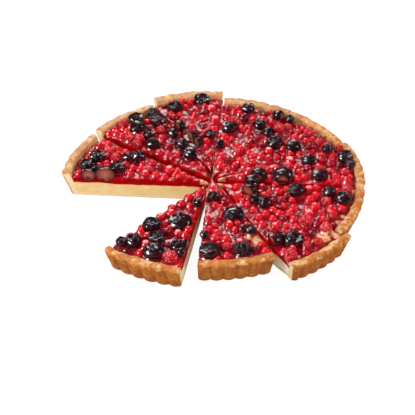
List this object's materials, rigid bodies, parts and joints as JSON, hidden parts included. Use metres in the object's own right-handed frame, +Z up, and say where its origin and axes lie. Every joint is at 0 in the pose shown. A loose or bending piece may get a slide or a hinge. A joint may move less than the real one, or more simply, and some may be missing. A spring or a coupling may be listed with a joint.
{
  "type": "fruit tart",
  "caption": "Round shortcrust tart with a fluted rim, a cream layer and glazed mixed berries, cut into wedges with part of the round served.",
  "frame": {"origin": "middle of the footprint's box, on the surface that the tart stands on", "axes": "+Z up through the tart; the open part of the round faces between -X and -Y"},
  "size_m": [0.2932, 0.305, 0.0315],
  "materials": {
    "crust": "baked golden shortcrust, dry and finely pitted, browner at the rim and pale at the cuts",
    "cream": "baked cream filling, smooth and satin with fine pores at the cuts",
    "fruit": "redcurrants and raspberries under a clear wet glaze",
    "berry": "near-black glazed berries with wrinkled skin"
  },
  "bodies": {
    "root": {"crust_01": "crust", "cream_01": "cream", "fruit_01": "fruit", "berry_01_1": "berry", "berry_01_2": "berry", "berry_01_3": "berry", "crust_02": "crust", "cream_02": "cream", "fruit_02": "fruit", "berry_02_1": "berry", "berry_02_2": "berry", "berry_02_3": "berry", "crust_03": "crust", "cream_03": "cream", "fruit_03": "fruit", "berry_03_1": "berry", "berry_03_2": "berry", "berry_03_3": "berry", "crust_04": "crust", "cream_04": "cream", "fruit_04": "fruit", "berry_04_1": "berry", "berry_04_2": "berry", "berry_04_3": "berry", "crust_05": "crust", "cream_05": "cream", "fruit_05": "fruit", "berry_05_1": "berry", "berry_05_2": "berry", "berry_05_3": "berry", "crust_06": "crust", "cream_06": "cream", "fruit_06": "fruit", "berry_06_1": "berry", "berry_06_2": "berry", "berry_06_3": "berry", "crust_07": "crust", "cream_07": "cream", "fruit_07": "fruit", "berry_07_1": "berry", "berry_07_2": "berry", "berry_07_3": "berry", "crust_08": "crust", "cream_08": "cream", "fruit_08": "fruit", "berry_08_1": "berry", "berry_08_2": "berry", "berry_08_3": "berry", "crust_09": "crust", "cream_09": "cream", "fruit_09": "fruit", "berry_09_1": "berry", "berry_09_2": "berry", "berry_09_3": "berry", "crust_10": "crust", "cream_10": "cream", "fruit_10": "fruit", "berry_10_1": "berry", "berry_10_2": "berry", "berry_10_3": "berry"}
  },
  "joints": []
}
